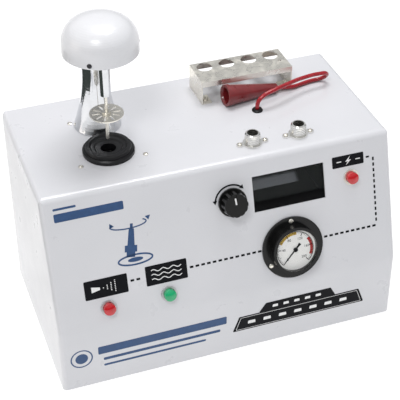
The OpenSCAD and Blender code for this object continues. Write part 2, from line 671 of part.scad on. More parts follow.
module gauge_needle() color(black) on_panel(gauge_u, gauge_v, dial_out) rotate([0, 0, 225]) {
    cylinder(d = 5, h = 2, $fn = 32);
    translate([0, 0, -6]) cylinder(d = 2, h = 7, $fn = 24);
    linear_extrude(0.8) polygon([[-9, -1.6], [-5, -0.9], [20, -0.35], [20, 0.35], [-5, 0.9],
        [-9, 1.6]]);
}
module gauge_lens() color(glass) on_panel(gauge_u, gauge_v,
    gauge_flange_t + bezel_h - 2.4) cylinder(d = bezel_d - 7, h = 1.6, $fn = 96);
module gauge_screws() color(steel) at_gauge_screws() pan_screw(3, 8, 5.5, 1.6);
module gauge_fitting() color(brass) on_panel(gauge_u, gauge_v, -can_depth) {
    translate([0, 0, -6]) cylinder(d = 14 / cos(30), h = 6, $fn = 6);
    translate([0, 0, -18]) cylinder(d = 9, h = 12, $fn = 32);
}

// ---- pressure knob and regulator ----
module pressure_knob() color(black) on_panel(knob_u, knob_v, 1.5) difference() {
    union() {
        cylinder(d = knob_d, h = 3, $fn = 72);
        translate([0, 0, 3]) cylinder(d1 = knob_d - 3, d2 = knob_d - 6, h = knob_h - 4.5, $fn = 72);
    }
    for (i = [0 : 11]) rotate([0, 0, i * 30 + 15]) translate([knob_d / 2 - 0.6, 0, 3.8])
        cylinder(d = 6, h = knob_h, $fn = 24);
    translate([0, 0, -1]) cylinder(d = shaft_d, h = knob_h - 4, $fn = 32);
    translate([0, 0, -1]) cylinder(d = bush_d + 1, h = 3.5, $fn = 40);
    translate([-0.6, 2, knob_h - 2.2]) cube([1.2, knob_d, 5]);
}
module knob_shaft() color(steel) on_panel(knob_u, knob_v, -20)
    cylinder(d = shaft_d, h = 20 + 1.5 + knob_h - 5, $fn = 32);
module pressure_regulator() color(zinc) on_panel(knob_u, knob_v) difference() {
    union() {
        translate([0, 0, -wall - regulator_len]) cylinder(d = regulator_d, h = regulator_len,
            $fn = 64);
        translate([0, 0, -wall - eps]) cylinder(d = bush_d, h = wall + 2.8, $fn = 40);
    }
    translate([0, 0, -25]) cylinder(d = shaft_d + 2 * fit, h = 60, $fn = 32);
}

// ---- push buttons and what they work ----
module button_cap() difference() {
    union() {
        translate([0, 0, -3]) cylinder(d = button_d, h = button_out - 1, $fn = 48);
        intersection() {
            translate([0, 0, button_out - 4 - eps]) cylinder(d = button_d, h = 5, $fn = 48);
            translate([0, 0, button_out - 14]) sphere(r = 14, $fn = 96);
        }
        translate([0, 0, -16]) cylinder(d = stem_d, h = 14, $fn = 32);
    }
}
module button_body(length) difference() {
    union() {
        cylinder(d = button_bezel_d, h = 2.5, $fn = 64);
        translate([0, 0, -length]) cylinder(d = valve_d, h = length + eps, $fn = 48);
    }
    translate([0, 0, -3 - button_travel - 1]) cylinder(d = button_d + 2 * gap, h = 40, $fn = 48);
    translate([0, 0, -17 - button_travel]) cylinder(d = stem_d + 2 * fit, h = 40, $fn = 32);
}
module blast_button() color(red) on_panel(blast_u, button_v) button_cap();
module air_button() color(green) on_panel(air_u, button_v) button_cap();
module test_button() color(red) on_panel(test_u, test_v) button_cap();
module blast_valve() color(zinc) on_panel(blast_u, button_v) button_body(valve_len);
module air_valve() color(zinc) on_panel(air_u, button_v) button_body(valve_len);
module test_switch() color(zinc) on_panel(test_u, test_v) button_body(valve_len - 8);
module button_nuts() color(steel) at_buttons() translate([0, 0, -wall - 4])
    hex_nut(22, valve_d + 2 * fit, 4);

// ---- ignition ----
coil_top = base_top + coil_size[2] + 14;
module ignition_coil() color(black) in_case() translate([lead_x, lead_y, base_top]) {
    translate([0, 0, coil_size[2] / 2]) cube(coil_size, center = true);
    translate([0, 0, coil_size[2]]) cylinder(d1 = 20, d2 = 14, h = 14, $fn = 48);
}
module power_supply() color(zinc) in_case() translate([120, 130, base_top]) difference() {
    cube([75, 60, 42]);
    for (i = [0 : 4]) translate([12 + i * 11, -1, 12]) cube([4, 10, 20]);
}
module lead_grommet() color(black) on_deck(lead_x, lead_y) difference() {
    rotate_extrude($fn = 64) polygon([[1, -wall - 2], [5.5, -wall - 2], [5.5, -wall], [4.5, -wall],
        [4.5, 0], [6.5, 0], [6.5, 1.2], [5, grommet_h], [1, grommet_h]]);
    rod_hole(lead_d, 20);
}
// The held lead inside the case, from the coil to the grommet's top.
module coil_lead() color(red) in_case() translate([lead_x, lead_y, coil_top])
    cylinder(d = lead_d, h = deck_z + grommet_h - coil_top, $fn = 32);
// A point on the smooth curve through four neighbours of the route, t from 0 to 1.
function between(p, a, b, q, t) = 0.5 * (2 * a + (b - p) * t + (2 * p - 5 * a + 4 * b - q) * t * t
    + (3 * a - p - 3 * b + q) * t * t * t);
function route_at(i) = i < 0 ? 2 * lead_route[0] - lead_route[1]
    : i >= len(lead_route) ? 2 * lead_route[len(lead_route) - 1] - lead_route[len(lead_route) - 2]
    : lead_route[i];
lead_path = concat([for (i = [0 : len(lead_route) - 2], k = [0 : lead_steps - 1])
    between(route_at(i - 1), route_at(i), route_at(i + 1), route_at(i + 2), k / lead_steps)],
    [lead_route[len(lead_route) - 1]]);
function heading(i) = unit(lead_path[min(i + 1, len(lead_path) - 1)] - lead_path[max(i - 1, 0)]);
// A side direction carried along the path without twist.
function sideways(i) = i == 0 ? [1, 0, 0]
    : let (s = sideways(i - 1), h = heading(i)) unit(s - (s * h) * h);
module ht_lead() color(red) on_deck(0, 0) skin([for (i = [0 : len(lead_path) - 1])
    let (s = sideways(i), u = cross(heading(i), s)) [for (k = [0 : lead_sides - 1])
        let (a = 360 * k / lead_sides) lead_path[i] + lead_d / 2 * (cos(a) * s + sin(a) * u)]]);
module in_boot() on_deck(boot_tail[0], boot_tail[1], boot_tail[2])
    rotate([0, boot_tilt - 90, boot_turn]) children();
module lead_boot() color([0.45, 0.12, 0.13]) in_boot() rotate_extrude($fn = 64)
    polygon([[0, 0], [boot_tail_d / 2, 0], [boot_d / 2 - 0.6, boot_len - 5],
        [boot_d / 2, boot_len - 5], [boot_d / 2, boot_len], [boot_d / 2 - 3, boot_len],
        [boot_d / 2 - 4, boot_len - 2], [7, boot_len - 36], [0, boot_len - 36]]);
module boot_contact() color(brass) in_boot() translate([0, 0, boot_len - 36]) {
    cylinder(d = 9, h = 2, $fn = 32);
    cylinder(d = 5, h = 9, $fn = 32);
}

// ---- services at the back ----
module air_inlet() color(brass) at_back(air_x, air_z) difference() {
    union() {
        translate([0, 0, -2 * wall - 1 - 8]) cylinder(d = 13.8, h = 8 + 2 * wall + 1, $fn = 48);
        cylinder(d = 19 / cos(30), h = 7, $fn = 6);
        translate([0, 0, 7 - eps]) cylinder(d = 11, h = inlet_reach - 7, $fn = 48);
        translate([0, 0, inlet_reach - 6]) cylinder(d = 13, h = 3, $fn = 48);
    }
    translate([0, 0, -20]) cylinder(d = 7, h = 60, $fn = 40);
}
module air_manifold() color(zinc) difference() {
    in_case() translate([air_x - 30, case_d - 2 * wall - 1 - manifold_d, air_z - 12])
        cube([60, manifold_d, 24]);
    at_back(air_x, air_z) translate([0, 0, -2 * wall - 1 - 8]) cylinder(d = 13.8, h = 20, $fn = 48);
    for (x = [-20, 0, 20]) at_back(air_x + x, air_z) translate([0, 0, -60])
        cylinder(d = 6, h = 45, $fn = 32);
}
module mains_inlet() color(black) {
    at_back(mains_x, mains_z) difference() {
        union() {
            translate([0, 0, 1.5]) cube([mains_pitch + 10, 24, 3], center = true);
            translate([0, 0, -10]) cube([27.4, 19.4, 24], center = true);
        }
        translate([0, 0, -4]) cube([24, 16.5, 30], center = true);
        for (x = [-1, 1]) translate([x * mains_pitch / 2, 0, 0]) rod_hole(3.2, 20);
    }
    for (x = [-7, 0, 7]) at_back(mains_x + x, mains_z) translate([0, x == 0 ? 2 : -2, -12])
        cube([2, 4, 20], center = true);
}

case_shell();
rear_cover();
base_plate();
feet();
foot_screws();
rear_cover_screws();
base_plate_screws();
chrome_column();
column_nut();
dome_cap();
head_screws();
head_bracket();
plunger_barrel();
barrel_nut();
plunger_spring();
plunger_rod();
guard_disc();
blast_adapter();
adapter_collar();
deck_stiffener();
deck_screws();
blast_chamber();
blast_nozzle();
chamber_drain();
plug_tray();
tray_screws();
test_port_left();
test_port_right();
test_port_screws();
pressure_block();
viewing_box();
viewing_mirror();
window_glass();
window_gasket();
gauge_case();
gauge_dial();
gauge_needle();
gauge_lens();
gauge_screws();
gauge_fitting();
pressure_knob();
knob_shaft();
pressure_regulator();
blast_button();
air_button();
test_button();
blast_valve();
air_valve();
test_switch();
button_nuts();
ignition_coil();
power_supply();
lead_grommet();
coil_lead();
ht_lead();
lead_boot();
boot_contact();
air_inlet();
air_manifold();
mains_inlet();
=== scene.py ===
"""Bench-top spark plug cleaner and tester: looks, laid over the fixed frame.

Lengths are written in millimetres and made metres as each piece is built. Deck places are
(x, y, h): x from the middle of the case, y behind its lower front edge, h above the deck.
Panel places are (u, v, out): u from the middle, v down the slope from the top edge.
"""
import json
import math

import bpy
import numpy as np
from mathutils import Matrix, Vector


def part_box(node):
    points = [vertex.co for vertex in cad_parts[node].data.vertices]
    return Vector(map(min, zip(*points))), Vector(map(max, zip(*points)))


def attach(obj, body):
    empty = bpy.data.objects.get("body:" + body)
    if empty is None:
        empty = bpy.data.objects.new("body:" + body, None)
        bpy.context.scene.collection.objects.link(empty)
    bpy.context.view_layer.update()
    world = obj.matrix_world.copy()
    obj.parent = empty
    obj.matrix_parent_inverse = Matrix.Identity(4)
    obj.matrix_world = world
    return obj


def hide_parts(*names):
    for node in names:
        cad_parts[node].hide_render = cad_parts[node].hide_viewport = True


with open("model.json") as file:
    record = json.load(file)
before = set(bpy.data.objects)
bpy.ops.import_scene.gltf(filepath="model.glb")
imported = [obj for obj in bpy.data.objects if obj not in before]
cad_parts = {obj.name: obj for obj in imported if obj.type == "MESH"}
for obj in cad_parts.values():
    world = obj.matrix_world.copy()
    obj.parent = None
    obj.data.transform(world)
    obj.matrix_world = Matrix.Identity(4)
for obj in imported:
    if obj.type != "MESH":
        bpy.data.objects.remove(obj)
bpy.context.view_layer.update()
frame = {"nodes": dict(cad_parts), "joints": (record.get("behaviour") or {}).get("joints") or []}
nodes = frame["nodes"]
joints = {j["name"]: j for j in frame["joints"]}

# ---------------------------------------------------------------- places
case_low, case_high = (np.array(c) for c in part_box("case_shell"))
front_y, deck_z = case_low[1], case_high[2]
knob_at = np.array(joints["knob_turn"]["pos_m"])
panel_out = np.array(joints["knob_turn"]["axis"])
panel_up = np.cross(panel_out, [1.0, 0.0, 0.0])
panel_up /= np.linalg.norm(panel_up)
if panel_up[2] < 0:
    panel_up = -panel_up
KNOB_U, KNOB_V = 9.0, 47.0      # the knob's place on the panel
KNEE_Z = 0.092                  # height of the bend between the panel and the lower front, m
panel_zero = knob_at - 0.005 * panel_out - KNOB_U / 1000 * np.array([1.0, 0, 0]) \
    + KNOB_V / 1000 * panel_up


def panel(u, v, out=0.0):
    """A panel place as a point: the panel's top middle + u across - v up + out along its face."""
    u, v, out = np.broadcast_arrays(*(np.asarray(a, float) for a in (u, v, out)))
    x = np.array([1.0, 0.0, 0.0])
    return (panel_zero + u[..., None] / 1000 * x - v[..., None] / 1000 * panel_up
            + out[..., None] / 1000 * panel_out)


def deck(x, y, h=0.0):
    """A deck place as a point: case coordinates over 1000, from the front edge and the deck."""
    x, y, h = np.broadcast_arrays(*(np.asarray(a, float) for a in (x, y, h)))
    return np.stack([x / 1000, front_y + y / 1000, deck_z + h / 1000], -1)


def apron(u, v, out=0.0):
    """A place on the upright lower front, v down from the knee."""
    u, v, out = np.broadcast_arrays(*(np.asarray(a, float) for a in (u, v, out)))
    return np.stack([u / 1000, front_y - out / 1000, KNEE_Z - v / 1000], -1)


# ---------------------------------------------------------------- camera
def look_from(place, azimuth, elevation, roll, lens, shift):
    """Camera whose axes are the right and up vectors of its sight line, turned by the roll."""
    ca, sa, ce, se = (f(a) for a, f in ((azimuth, math.cos), (azimuth, math.sin),
                                        (elevation, math.cos), (elevation, math.sin)))
    ahead = np.array([sa * ce, ca * ce, -se])
    right = np.array([ca, -sa, 0.0])
    up = np.cross(right, ahead)
    side = math.cos(roll) * right + math.sin(roll) * up
    top = -math.sin(roll) * right + math.cos(roll) * up
    data = bpy.data.cameras.new("camera")
    data.lens, data.sensor_width, data.sensor_fit = lens, 36.0, "HORIZONTAL"
    data.shift_x, data.shift_y = shift
    data.clip_start, data.clip_end = 0.05, 30
    cam = bpy.data.objects.new("camera", data)
    bpy.context.scene.collection.objects.link(cam)
    m = np.eye(4)
    m[:3, 0], m[:3, 1], m[:3, 2], m[:3, 3] = side, top, -ahead, place
    cam.matrix_world = Matrix(m.tolist())
    bpy.context.scene.camera = cam


look_from((-0.3961, front_y - 1.0124, 1.0396), 0.334, 0.627, -0.005, 110.4, (0.0082, -0.041))


# ---------------------------------------------------------------- mesh makers
def add(name, points, faces, material=None, body="case", slot=None, smooth=True, sharp=40):
    """A piece from points and faces, shaded smooth except where faces meet over `sharp` degrees."""
    mesh = bpy.data.meshes.new(name)
    mesh.from_pydata(np.asarray(points, float).reshape(-1, 3).tolist(), [], faces)
    mesh.validate()
    mesh.update()
    obj = bpy.data.objects.new(name, mesh)
    bpy.context.scene.collection.objects.link(obj)
    if material:
        mesh.materials.append(material)
    mesh.polygons.foreach_set("use_smooth", [smooth] * len(mesh.polygons))
    if smooth:
        mesh.set_sharp_from_angle(angle=math.radians(sharp))
    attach(obj, body)
    return obj


def lattice(n, m, wrap_n=False, wrap_m=True, start=0):
    """Quad faces of an n by m grid of points, wrapped round either way."""
    i = np.arange(n if wrap_n else n - 1)[:, None]
    j = np.arange(m if wrap_m else m - 1)[None, :]
    a = i * m + j
    b = i * m + (j + 1) % m
    c = (i + 1) % n * m + (j + 1) % m
    d = (i + 1) % n * m + j
    return (np.stack([a, b, c, d], -1).reshape(-1, 4) + start).tolist()


def turned_faces(n, steps, start=0, closed=False):
    """Faces of a turned grid of n rings: quads between rings, and a cap on each end ring."""
    f = lattice(n, steps, closed, True, start)
    if not closed:
        f = [[start + k for k in range(steps)][::-1]] + f
        f.append([start + (n - 1) * steps + k for k in range(steps)])
    return f


def round_corners(points, radius, steps=5, closed=True):
    """Outline whose corners are arcs tangent to both sides, radius (one or per corner)."""
    p = np.asarray(points, float)
    n = len(p)
    rs = np.broadcast_to(radius, n)
    out = []
    for k in range(n):
        if not closed and k in (0, n - 1) or rs[k] <= 0:
            out.append(p[k][None])
            continue
        a, b = p[k - 1] - p[k], p[(k + 1) % n] - p[k]
        la, lb = np.linalg.norm(a), np.linalg.norm(b)
        a, b = a / la, b / lb
        half = math.acos(np.clip(a @ b, -1, 1)) / 2
        d = min(rs[k] / math.tan(half), la * 0.49, lb * 0.49)
        r = d * math.tan(half)
        c = p[k] + (a + b) / np.linalg.norm(a + b) * r / math.sin(half)
        s, e = p[k] + a * d - c, p[k] + b * d - c
        w = math.acos(np.clip(s @ e / r / r, -1, 1))
        t = np.linspace(0, 1, steps + 1)[:, None]
        out.append(c + (np.sin((1 - t) * w) * s + np.sin(t * w) * e) / math.sin(w))
    return np.concatenate(out)


class Batch:
    """Many small closed shapes gathered into one piece."""

    def __init__(self):
        self.points, self.faces, self.count = [], [], 0

    def put(self, points, faces):
        points = np.asarray(points, float).reshape(-1, 3)
        self.points.append(points)
        self.faces += [[i + self.count for i in f] for f in faces]
        self.count += len(points)

    def plate(self, outline, place, low=0.0, high=0.25):
        """Flat plate: the outline (anticlockwise seen from outside) placed at two heights."""
        o = np.asarray(outline, float)
        if np.sum(o[:, 0] * np.roll(o[:, 1], -1) - np.roll(o[:, 0], -1) * o[:, 1]) < 0:
            o = o[::-1]
        n = len(o)
        self.put([place(o[:, 0], o[:, 1], low), place(o[:, 0], o[:, 1], high)],
                 [list(range(n))[::-1], list(range(n, 2 * n))]
                 + [[k, (k + 1) % n, n + (k + 1) % n, n + k] for k in range(n)])

    def ribbon(self, line, width, place, low=0.0, high=0.25, closed=False):
        """Band of even width along a line, offset half to each side by the line's normals."""
        p = np.asarray(line, float)
        if closed:
            d = np.roll(p, -1, 0) - np.roll(p, 1, 0)
        else:
            d = np.gradient(p, axis=0)
        d /= np.linalg.norm(d, axis=1)[:, None]
        s = np.stack([-d[:, 1], d[:, 0]], 1) * width / 2
        a, b = p + s, p - s
        n = len(p)
        rows = [place(a[:, 0], a[:, 1], low), place(a[:, 0], a[:, 1], high),
                place(b[:, 0], b[:, 1], high), place(b[:, 0], b[:, 1], low)]
        grid = np.stack(rows, 1).reshape(-1, 3)
        f = lattice(n, 4, closed, True)
        if not closed:
            f += [[3, 2, 1, 0], [4 * n - 4, 4 * n - 3, 4 * n - 2, 4 * n - 1]]
        self.put(grid, [q[::-1] for q in f])

    def disc(self, u, v, r, place, low=0.0, high=0.25, sides=16):
        """Round plate: u + r cos t, v + r sin t."""
        t = np.linspace(0, 2 * math.pi, sides, endpoint=False)
        self.plate(np.stack([u + r * np.cos(t), v + r * np.sin(t)], 1), place, low, high)

    def done(self, name, material, body="case", slot=None, **more):
        obj = add(name, np.concatenate(self.points), self.faces, material, body, slot, **more)
        recalc(obj)
        return obj


def recalc(obj):
    """Makes every closed shell's faces point outwards."""
    import bmesh
    b = bmesh.new()
    b.from_mesh(obj.data)
    bmesh.ops.recalc_face_normals(b, faces=b.faces)
    b.to_mesh(obj.data)
    b.free()


def flat_panel(u, v, out):
    """Panel place for outlines drawn with the second number going up the slope."""
    return panel(u, -v, out)


def tube(path, radius, sides=16):
    """Tube: each ring is radius (cos a side + sin a up) about the path, carried without twist."""
    p = np.asarray(path, float)
    n = len(p)
    d = np.gradient(p, axis=0)
    d /= np.linalg.norm(d, axis=1)[:, None]
    side = np.zeros_like(p)
    side[0] = np.cross(d[0], [0.0, 1.0, 0.3])
    side[0] /= np.linalg.norm(side[0])
    for k in range(1, n):
        s = side[k - 1] - (side[k - 1] @ d[k]) * d[k]
        side[k] = s / np.linalg.norm(s)
    up = np.cross(d, side)
    a = np.linspace(0, 2 * math.pi, sides, endpoint=False)
    r = np.broadcast_to(radius, n)[:, None, None]
    return p[:, None] + r * (np.cos(a)[None, :, None] * side[:, None]
                             + np.sin(a)[None, :, None] * up[:, None])


def smooth_line(points, steps):
    """Smooth curve through points, cubic between neighbours with slopes from the next ones."""
    p = np.asarray(points, float)
    q = np.concatenate([[2 * p[0] - p[1]], p, [2 * p[-1] - p[-2]]])
    a, b, c, d = (q[k:len(q) - 3 + k, None] for k in range(4))
    t = np.linspace(0, 1, steps, endpoint=False)[None, :, None]
    s = 0.5 * (2 * b + (c - a) * t + (2 * a - 5 * b + 4 * c - d) * t ** 2
               + (3 * b - a - 3 * c + d) * t ** 3)
    return np.concatenate([s.reshape(-1, p.shape[1]), p[-1:]])


# ---------------------------------------------------------------- finishes
def srgb(*c):
    """Linear colour from screen values 0 to 255."""
    c = np.array(c) / 255
    lin = np.where(c <= 0.04045, c / 12.92, ((c + 0.055) / 1.055) ** 2.4)
    return (*lin.tolist(), 1.0)


class Finish:
    """A material built round one Principled shader, with Object coordinates for its patterns."""

    def __init__(self, name, colour, metallic=0.0, rough=0.4, **sockets):
        self.mat = bpy.data.materials.new(name)
        self.mat.use_nodes = True
        self.tree = self.mat.node_tree
        self.nodes, self.links = self.tree.nodes, self.tree.links
        self.shader = self.nodes["Principled BSDF"]
        self.colour = colour
        self.shader.inputs["Base Color"].default_value = colour
        self.shader.inputs["Metallic"].default_value = metallic
        self.shader.inputs["Roughness"].default_value = rough
        self.rough = rough
        for k, v in sockets.items():
            self.shader.inputs[k.replace("_", " ")].default_value = v
        self.coords = self.nodes.new("ShaderNodeTexCoord").outputs["Object"]
        self.height = None

    def mapped(self, scale=(1, 1, 1), turn=(0, 0, 0)):
        n = self.nodes.new("ShaderNodeMapping")
        n.inputs["Scale"].default_value = scale
        n.inputs["Rotation"].default_value = turn
        self.links.new(self.coords, n.inputs["Vector"])
        return n.outputs["Vector"]

    def noise(self, scale, detail=4, roughness=0.55, vector=None, distortion=0.0):
        n = self.nodes.new("ShaderNodeTexNoise")
        n.inputs["Scale"].default_value = scale
        n.inputs["Detail"].default_value = detail
        n.inputs["Roughness"].default_value = roughness
        n.inputs["Distortion"].default_value = distortion
        self.links.new(vector or self.coords, n.inputs["Vector"])
        return n.outputs["Fac"]

    def ramp(self, value, low, high, a=0.0, b=1.0):
        n = self.nodes.new("ShaderNodeMapRange")
        for k, v in (("From Min", low), ("From Max", high), ("To Min", a), ("To Max", b)):
            n.inputs[k].default_value = v
        self.links.new(value, n.inputs["Value"])
        return n.outputs["Result"]

    def tint(self, factor, other, first=None):
        """Mixes the base colour towards another where the factor is high."""
        n = self.nodes.new("ShaderNodeMix")
        n.data_type = "RGBA"
        self.links.new(factor, n.inputs["Factor"])
        if first is None and self.shader.inputs["Base Color"].links:
            self.links.new(self.shader.inputs["Base Color"].links[0].from_socket, n.inputs["A"])
        else:
            n.inputs["A"].default_value = first or self.colour
        n.inputs["B"].default_value = other
        self.links.new(n.outputs["Result"], self.shader.inputs["Base Color"])
        return self

    def rougher(self, factor, a, b):
        self.links.new(self.ramp(factor, 0.3, 0.7, a, b), self.shader.inputs["Roughness"])
        return self

    def bump(self, value, depth, strength=1.0):
        """Raises the surface by value times depth (mm)."""
        n = self.nodes.new("ShaderNodeBump")
        n.inputs["Distance"].default_value = depth / 1000
        n.inputs["Strength"].default_value = strength
        self.links.new(value, n.inputs["Height"])
        if self.height:
            self.links.new(self.height, n.inputs["Normal"])
        self.height = n.outputs["Normal"]
        self.links.new(self.height, self.shader.inputs["Normal"])
        return self


def grey_paint(name, colour):
    """Gloss stoving paint on sheet: orange peel, slight clouding, dull patches, fine dust."""
    f = Finish(name, colour, rough=0.30, Coat_Weight=0.45, Coat_Roughness=0.14)
    cloud = f.noise(9, 3, 0.5)
    f.tint(f.ramp(cloud, 0.35, 0.75, 0, 0.5), srgb(205, 206, 210))
    f.tint(f.ramp(f.noise(1700, 2, 0.6), 0.66, 0.74, 0, 0.35), srgb(150, 150, 150))
    f.rougher(f.noise(35, 4, 0.6), 0.26, 0.40)
    return f.bump(f.noise(420, 2, 0.5), 0.02).bump(f.noise(3500, 1, 0.5), 0.003)


def bright_plate(name, colour, rough, scratch=0.0):
    """Plated metal: smears in the gloss and hair scratches drawn by two stretched noises."""
    f = Finish(name, colour, metallic=1.0, rough=rough)
    f.rougher(f.noise(90, 5, 0.65, distortion=0.6), rough * 0.6, rough * 1.7)
    f.tint(f.ramp(f.noise(60, 4, 0.6), 0.5, 0.8, 0, 0.35), tuple(
        c * 0.55 for c in colour[:3]) + (1.0,))
    if scratch:
        for k, turn in enumerate(((0.3, 0.2, 0.5), (0.1, 0.5, 2.2))):
            hair = f.noise(1.0, 2, 0.7, f.mapped((60, 2600, 900 + 300 * k), turn))
            f.bump(f.ramp(hair, 0.52, 0.66), 0.012 * scratch)
    return f


def moulded(name, colour, rough, grain=0.006, **sockets):
    """Moulded plastic or rubber: fine grain, faint clouding and handled, duller patches."""
    f = Finish(name, colour, rough=rough, **sockets)
    f.tint(f.ramp(f.noise(140, 4, 0.6), 0.45, 0.8, 0, 0.4),
           tuple(min(c * 1.7 + 0.006, 1) for c in colour[:3]) + (1.0,))
    f.rougher(f.noise(70, 4, 0.6), rough * 0.8, min(rough * 1.3, 1))
    return f.bump(f.noise(2600, 2, 0.6), grain)


case_grey = grey_paint("case_grey_paint", srgb(216, 216, 220)).mat
dome_grey = grey_paint("dome_grey_paint", srgb(222, 222, 225)).mat
chrome = bright_plate("chrome", (0.70, 0.71, 0.73, 1), 0.07).mat
zinc = bright_plate("tray_plating", (0.83, 0.80, 0.73, 1), 0.30, 1.0).mat
nickel = bright_plate("port_plating", (0.84, 0.83, 0.80, 1), 0.18, 0.5).mat
plain_steel = bright_plate("plain_steel", (0.45, 0.45, 0.46, 1), 0.38, 1.0).mat
alloy = bright_plate("machined_alloy", (0.60, 0.60, 0.61, 1), 0.42, 0.6).mat
brass = bright_plate("turned_brass", (0.72, 0.52, 0.24, 1), 0.28, 0.5).mat
black_oxide = bright_plate("black_oxide", (0.06, 0.06, 0.065, 1), 0.35, 0.6).mat
black_plastic = moulded("black_plastic", (0.012, 0.012, 0.013, 1), 0.34, 0.004).mat
knob_black = moulded("knob_black", (0.004, 0.004, 0.004, 1), 0.2, 0.002, Coat_Weight=0.15,
                     Coat_Roughness=0.1, Specular_IOR_Level=0.2).mat
gauge_black = moulded("gauge_black", (0.005, 0.005, 0.005, 1), 0.22, 0.002, Coat_Weight=0.15,
                      Coat_Roughness=0.12, Specular_IOR_Level=0.25).mat
rubber = moulded("port_rubber", (0.005, 0.005, 0.006, 1), 0.36, 0.012,
                 Specular_IOR_Level=0.35).mat
boot_rubber = moulded("boot_rubber", srgb(116, 30, 34), 0.3, 0.010, Coat_Weight=0.4,
                      Coat_Roughness=0.3).mat
lead_red = moulded("lead_insulation", srgb(158, 14, 30), 0.26, 0.003, Coat_Weight=0.3,
                   Coat_Roughness=0.2).mat
red_plastic = moulded("red_plastic", srgb(188, 16, 28), 0.22, 0.002, Coat_Weight=0.6,
                      Coat_Roughness=0.08).mat
green_plastic = moulded("green_plastic", srgb(16, 160, 104), 0.22, 0.002, Coat_Weight=0.6,
                        Coat_Roughness=0.08).mat
# Painted light: the dial face is given a faint white glow of its own (emission), which brightens it
# beyond what the lamps give; it is not a lamp.
dial_white = moulded("dial_white", srgb(250, 249, 245), 0.5, 0.001,
                     Emission_Color=(1, 1, 1, 1), Emission_Strength=0.22).mat
print_black = moulded("print_black", srgb(16, 17, 21), 0.5, 0.001,
                      Specular_IOR_Level=0.1).mat
print_blue = moulded("print_blue", srgb(38, 72, 116), 0.42, 0.001).mat
print_white = moulded("print_white", srgb(232, 232, 232), 0.42, 0.001).mat
print_gold = moulded("print_gold", srgb(232, 186, 60), 0.42, 0.001).mat
print_red = moulded("print_red", srgb(200, 44, 40), 0.42, 0.001).mat
box_black = moulded("box_black", (0.004, 0.004, 0.005, 1), 0.55, 0.006,
                    Specular_IOR_Level=0.2).mat
mirror = bright_plate("mirror", (0.26, 0.27, 0.29, 1), 0.12).mat
coil_black = moulded("coil_black", (0.02, 0.02, 0.021, 1), 0.5, 0.01).mat


def clear(name, alpha):
    """Clear flat glass: mostly see-through, with a clean hard shine and faint smears."""
    f = Finish(name, (0.02, 0.025, 0.025, 1), rough=0.03, Alpha=alpha)
    f.rougher(f.noise(60, 4, 0.6), 0.02, 0.08)
    f.mat.surface_render_method = "BLENDED"
    return f.mat


window_clear = clear("window_clear", 0.16)
lens_clear = clear("lens_clear", 0.10)

looks = {
    "case_shell rear_cover base_plate": case_grey,
    "dome_cap": dome_grey,
    "chrome_column plunger_barrel": chrome,
    "test_port_left test_port_right": nickel,
    "plunger_rod deck_screws test_switch plug_tray guard_disc tray_screws test_port_screws "
    "gauge_screws": zinc,
    "viewing_mirror": mirror,
    "foot_screws rear_cover_screws base_plate_screws column_nut head_bracket barrel_nut "
    "plunger_spring knob_shaft button_nuts adapter_collar deck_stiffener blast_chamber "
    "power_supply": plain_steel,
    "head_screws": black_oxide,
    "pressure_block pressure_regulator air_manifold blast_valve air_valve": alloy,
    "blast_nozzle chamber_drain gauge_fitting boot_contact air_inlet": brass,
    "pressure_knob": knob_black,
    "mains_inlet": black_plastic,
    "gauge_case": gauge_black,
    "ignition_coil": coil_black,
    "viewing_box": box_black,
    "feet lead_grommet window_gasket blast_adapter": rubber,
    "lead_boot": boot_rubber,
    "ht_lead coil_lead": lead_red,
    "window_glass": window_clear,
    "gauge_lens": lens_clear,
    "gauge_dial": dial_white,
    "gauge_needle": print_black,
    "blast_button test_button": red_plastic,
    "air_button": green_plastic,
}
for names, look in looks.items():
    for name in names.split():
        data = nodes[name].data
        data.materials.clear()
        data.materials.append(look)

# ---------------------------------------------------------------- high-tension lead
LEAD = [[80.5, 138, 3], [80.5, 138, 8], [82.6, 138.6, 13.2], [87.5, 139.2, 17.5],
        [95, 140.3, 20.3], [106.8, 142.9, 22], [122.4, 149, 21.6], [139.3, 156.4, 20.3],
        [154.4, 161, 19.3], [164, 163, 18.8], [172.5, 163.5, 18.4], [178.6, 164, 17.8],
        [183.2, 166.5, 14.5], [184.4, 170.2, 9.7], [181.9, 173.6, 5.2], [176.5, 175.5, 2.9],
        [170, 175.6, 2.7], [162, 174.6, 2.7], [154, 172.8, 2.7], [147, 170.9, 2.8],
        [140, 169.3, 3.3], [132, 168.8, 4.3], [124, 168.9, 5.4], [117, 169, 6.1]]
LEAD_D = 5.0
lead_path = smooth_line(LEAD, 6)
lead_points = deck(*lead_path.T)
rings = tube(lead_points, LEAD_D / 2000, 24)
lead = add("tester_lead", rings, turned_faces(len(rings), 24), lead_red, slot="lead_red")
recalc(lead)
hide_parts("ht_lead")

# ---------------------------------------------------------------- printed panel graphics
black, white, blue, marks = Batch(), Batch(), Batch(), Batch()
gold, red = Batch(), Batch()


def out_of(name):
    """How far a node's mesh stands out of the panel, in mm."""
    mesh = nodes[name].data
    co = np.empty(len(mesh.vertices) * 3)
    mesh.vertices.foreach_get("co", co)
    return float(((co.reshape(-1, 3) - panel_zero) @ panel_out).max() * 1000)


def bar(u0, v0, u1, v1, r=1.2):
    """Rounded rectangle between two corners given as u across and v down."""
    return round_corners([[u0, -v1], [u1, -v1], [u1, -v0], [u0, -v0]], r)


def arc(u, v, r, a, b, steps=40, flat=1.0):
    """Points u + r cos t, v + flat r sin t for t from a to b degrees."""
    t = np.radians(np.linspace(a, b, steps))
    return np.stack([u + r * np.cos(t), v + flat * r * np.sin(t)], 1)


def front(u, v, out):
    """Lower front place for outlines drawn with the second number going up."""
    return apron(u, -v, out)


